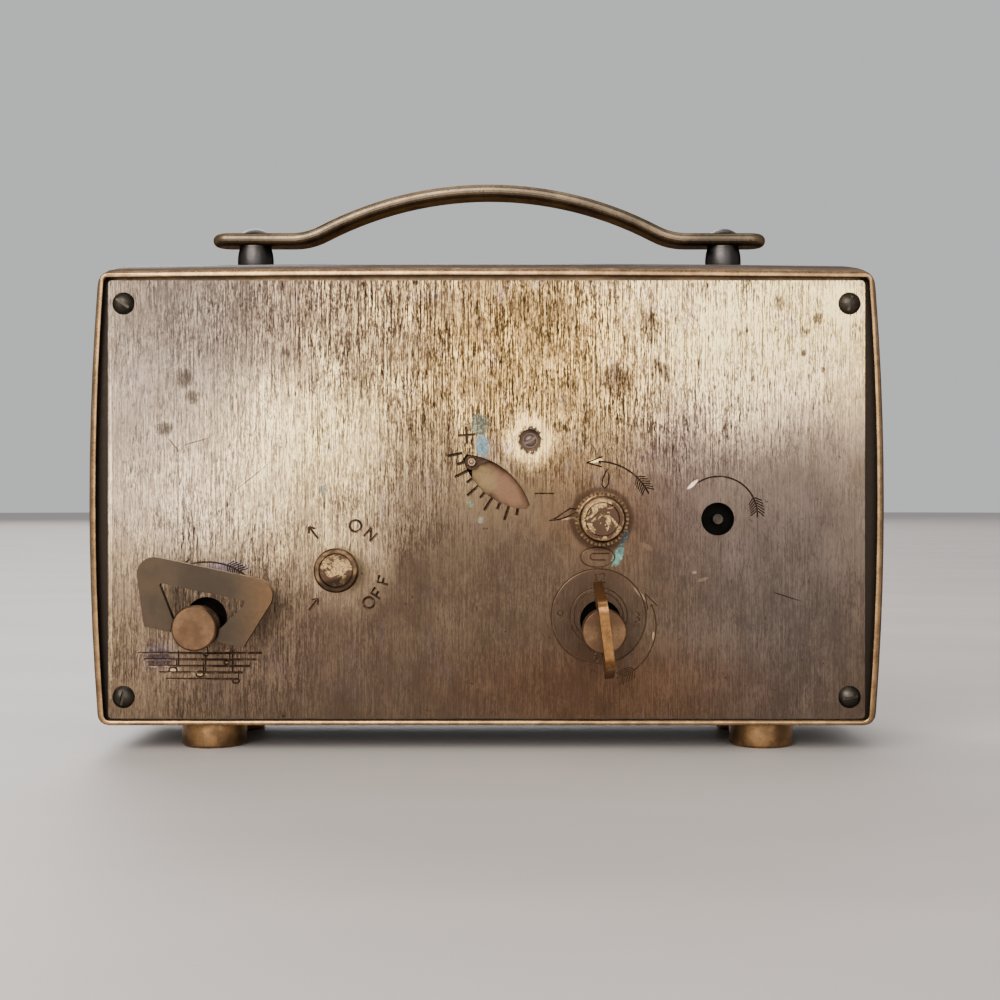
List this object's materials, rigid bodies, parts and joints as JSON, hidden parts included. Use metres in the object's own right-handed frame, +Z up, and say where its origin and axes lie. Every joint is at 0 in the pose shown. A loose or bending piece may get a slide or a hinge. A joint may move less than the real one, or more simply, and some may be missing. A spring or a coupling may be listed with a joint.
{
  "type": "musical alarm clock",
  "caption": "Mantel alarm clock with folding winding keys, arched carrying handle, ball spacers and a pinned-cylinder music box inside.",
  "frame": {"origin": "middle of the underside of the overall box, on the surface that the feet stand on", "axes": "+Z up, the dial looks to -Y, the back plate with its keys looks to +Y, +X is to the right seen from the front"},
  "size_m": [0.1604, 0.068, 0.1174],
  "materials": {
    "case_metal": "aged dark bronze lacquer on sheet metal, bright at the rim edge",
    "handle_metal": "dark aged brass, satin",
    "foot_brass": "aged brass, satin",
    "plate_brass": "brushed plated brass, worn and spotted",
    "front_brass": "brushed brass",
    "bezel_brass": "polished brass",
    "dark_screw_steel": "dark aged steel",
    "oxidised_brass": "dark oxidised brass sheet",
    "plain_steel": "turned steel",
    "flange_steel": "pressed steel",
    "key_bronze": "aged brown brass, satin",
    "loop_bronze": "olive brown aged brass, satin",
    "knob_bronze": "aged brown brass with pale worn patches",
    "window_glass": "clear domed glass",
    "dial_enamel": "ivory satin paint",
    "hand_black": "black gloss paint",
    "movement_brass": "rolled brass",
    "spring_steel": "blued spring steel",
    "regulator_copper": "brown aged brass",
    "bed_metal": "cast metal"
  },
  "bodies": {
    "clock": {"case_shell": "case_metal", "feet": "foot_brass", "foot_screws": "plain_steel", "handle": "handle_metal", "handle_spacers": "handle_metal", "handle_screws": "dark_screw_steel", "handle_nuts": "plain_steel", "rear_frame": "flange_steel", "back_plate": "plate_brass", "back_screws": "dark_screw_steel", "front_frame": "flange_steel", "front_panel": "front_brass", "bezel": "bezel_brass", "glass": "window_glass", "dial": "dial_enamel", "movement_front_plate": "movement_brass", "movement_rear_plate": "oxidised_brass", "pillars": "plain_steel", "pillar_nuts": "movement_brass", "balance_screw": "dark_screw_steel", "going_mainspring": "spring_steel", "hairspring": "spring_steel", "music_bedplate": "bed_metal", "comb": "spring_steel", "comb_screws": "plain_steel"},
    "clock_winder": {"clock_key_hub": "key_bronze", "going_arbor": "plain_steel"},
    "clock_loop": {"clock_key_loop": "loop_bronze"},
    "music_winder": {"music_key_hub": "key_bronze", "music_arbor": "plain_steel"},
    "music_loop": {"music_key_loop": "loop_bronze"},
    "on_off": {"on_off_knob": "knob_bronze", "stop_arm": "plain_steel"},
    "hand_setting": {"hand_set_knob": "knob_bronze", "centre_arbor": "plain_steel", "minute_hand": "hand_black"},
    "minute_wheel": {"minute_wheel": "movement_brass"},
    "hour_wheel": {"hour_wheel": "movement_brass", "hour_hand": "hand_black"},
    "alarm_wheel": {"alarm_wheel": "movement_brass", "alarm_hand": "hand_black"},
    "alarm_setting": {"alarm_arbor": "dark_screw_steel"},
    "regulator": {"regulator": "regulator_copper"},
    "centre_wheel": {"centre_wheel": "movement_brass"},
    "great_wheel": {"great_wheel": "movement_brass"},
    "going_click": {"going_click": "spring_steel"},
    "third_wheel": {"third_wheel": "movement_brass"},
    "fourth_wheel": {"fourth_wheel": "movement_brass"},
    "escape_wheel": {"escape_wheel": "movement_brass"},
    "pallet_lever": {"pallet_lever": "plain_steel"},
    "balance_wheel": {"balance_wheel": "movement_brass"},
    "music_click": {"music_click": "spring_steel"},
    "music_barrel": {"music_barrel": "movement_brass", "music_mainspring": "spring_steel"},
    "music_cylinder": {"music_cylinder": "movement_brass"},
    "governor_wheel": {"governor_wheel": "movement_brass"},
    "governor_fan": {"governor_fan": "plain_steel"}
  },
  "joints": [
    {"name": "clock_winding", "type": "hinge", "parent": "clock", "child": "clock_winder", "pos_m": [-0.023, -0.0086, 0.0251], "axis": [0, 1, 0], "continuous": true},
    {"name": "clock_key_fold", "type": "hinge", "parent": "clock_winder", "child": "clock_loop", "pos_m": [-0.023, 0.0222, 0.0251], "axis": [-0.1219, 0, -0.9925], "range_deg": [-90, 90]},
    {"name": "music_winding", "type": "hinge", "parent": "clock", "child": "music_winder", "pos_m": [0.0559, -0.0086, 0.0257], "axis": [0, 1, 0], "continuous": true},
    {"name": "music_key_fold", "type": "hinge", "parent": "music_winder", "child": "music_loop", "pos_m": [0.0559, 0.0222, 0.0257], "axis": [-0.9781, 0, -0.2079], "range_deg": [0, 180]},
    {"name": "on_off_slide", "type": "slide", "parent": "clock", "child": "on_off", "axis": [0, -1, 0], "range_m": [0, 0.004]},
    {"name": "hand_setting_turn", "type": "hinge", "parent": "clock", "child": "hand_setting", "pos_m": [-0.023, -0.0086, 0.0466], "axis": [0, 1, 0], "continuous": true},
    {"name": "minute_wheel_turn", "type": "hinge", "parent": "clock", "child": "minute_wheel", "pos_m": [-0.01683, -0.0086, 0.03925], "axis": [0, 1, 0], "continuous": true},
    {"name": "hour_wheel_turn", "type": "hinge", "parent": "clock", "child": "hour_wheel", "pos_m": [-0.023, -0.0086, 0.0466], "axis": [0, 1, 0], "continuous": true},
    {"name": "alarm_wheel_turn", "type": "hinge", "parent": "clock", "child": "alarm_wheel", "pos_m": [-0.023, -0.0086, 0.0466], "axis": [0, 1, 0], "continuous": true},
    {"name": "alarm_arbor_turn", "type": "hinge", "parent": "clock", "child": "alarm_setting", "pos_m": [-0.04625, -0.0086, 0.0466], "axis": [0, 1, 0], "continuous": true},
    {"name": "regulator_swing", "type": "hinge", "parent": "clock", "child": "regulator", "pos_m": [-0.0087, -0.0086, 0.0624], "axis": [0, 1, 0], "range_deg": [0, 60]},
    {"name": "centre_wheel_turn", "type": "hinge", "parent": "clock", "child": "centre_wheel", "pos_m": [-0.023, -0.0086, 0.0466], "axis": [0, 1, 0], "continuous": true},
    {"name": "great_wheel_turn", "type": "hinge", "parent": "clock", "child": "great_wheel", "pos_m": [-0.023, -0.0086, 0.0251], "axis": [0, 1, 0], "continuous": true},
    {"name": "third_wheel_turn", "type": "hinge", "parent": "clock", "child": "third_wheel", "pos_m": [-0.03343, -0.0086, 0.0494], "axis": [0, 1, 0], "continuous": true},
    {"name": "fourth_wheel_turn", "type": "hinge", "parent": "clock", "child": "fourth_wheel", "pos_m": [-0.03002, -0.0086, 0.05828], "axis": [0, 1, 0], "continuous": true},
    {"name": "escape_wheel_turn", "type": "hinge", "parent": "clock", "child": "escape_wheel", "pos_m": [-0.02423, -0.0086, 0.06518], "axis": [0, 1, 0], "continuous": true},
    {"name": "pallet_lever_rock", "type": "hinge", "parent": "clock", "child": "pallet_lever", "pos_m": [-0.01717, -0.0086, 0.06391], "axis": [0, 1, 0], "range_deg": [-4, 4]},
    {"name": "balance_swing", "type": "hinge", "parent": "clock", "child": "balance_wheel", "pos_m": [-0.0087, -0.0086, 0.0624], "axis": [0, 1, 0], "range_deg": [-150, 150], "stiffness_Nm_per_rad": 0.000011},
    {"name": "going_click_lift", "type": "hinge", "parent": "great_wheel", "child": "going_click", "pos_m": [-0.0324, -0.0086, 0.02168], "axis": [0, 1, 0], "range_deg": [0, 10]},
    {"name": "music_click_lift", "type": "hinge", "parent": "clock", "child": "music_click", "pos_m": [0.05016, -0.0086, 0.01751], "axis": [0, 1, 0], "range_deg": [0, 10]},
    {"name": "music_barrel_turn", "type": "hinge", "parent": "clock", "child": "music_barrel", "pos_m": [0.0559, -0.0086, 0.0257], "axis": [0, 1, 0], "continuous": true},
    {"name": "music_cylinder_turn", "type": "hinge", "parent": "clock", "child": "music_cylinder", "pos_m": [0.0559, -0.009, 0.05], "axis": [0, 0, 1], "continuous": true},
    {"name": "governor_wheel_turn", "type": "hinge", "parent": "clock", "child": "governor_wheel", "pos_m": [0.06535, -0.009, 0.08], "axis": [0, 0, 1], "continuous": true},
    {"name": "governor_fan_turn", "type": "hinge", "parent": "clock", "child": "governor_fan", "pos_m": [0.0559, -0.00265, 0.0821], "axis": [1, 0, 0], "continuous": true}
  ],
  "couplings": [
    {"joint": "minute_wheel_turn", "follows": "hand_setting_turn", "ratio": -0.33333},
    {"joint": "hour_wheel_turn", "follows": "hand_setting_turn", "ratio": 0.083333},
    {"joint": "alarm_arbor_turn", "follows": "alarm_wheel_turn", "ratio": -5.2},
    {"joint": "great_wheel_turn", "follows": "centre_wheel_turn", "ratio": -0.22857},
    {"joint": "third_wheel_turn", "follows": "centre_wheel_turn", "ratio": -8},
    {"joint": "fourth_wheel_turn", "follows": "centre_wheel_turn", "ratio": 60},
    {"joint": "escape_wheel_turn", "follows": "centre_wheel_turn", "ratio": -480},
    {"joint": "music_cylinder_turn", "follows": "music_barrel_turn", "ratio": -3},
    {"joint": "governor_wheel_turn", "follows": "music_barrel_turn", "ratio": 18},
    {"joint": "governor_fan_turn", "follows": "music_barrel_turn", "ratio": 540}
  ]
}
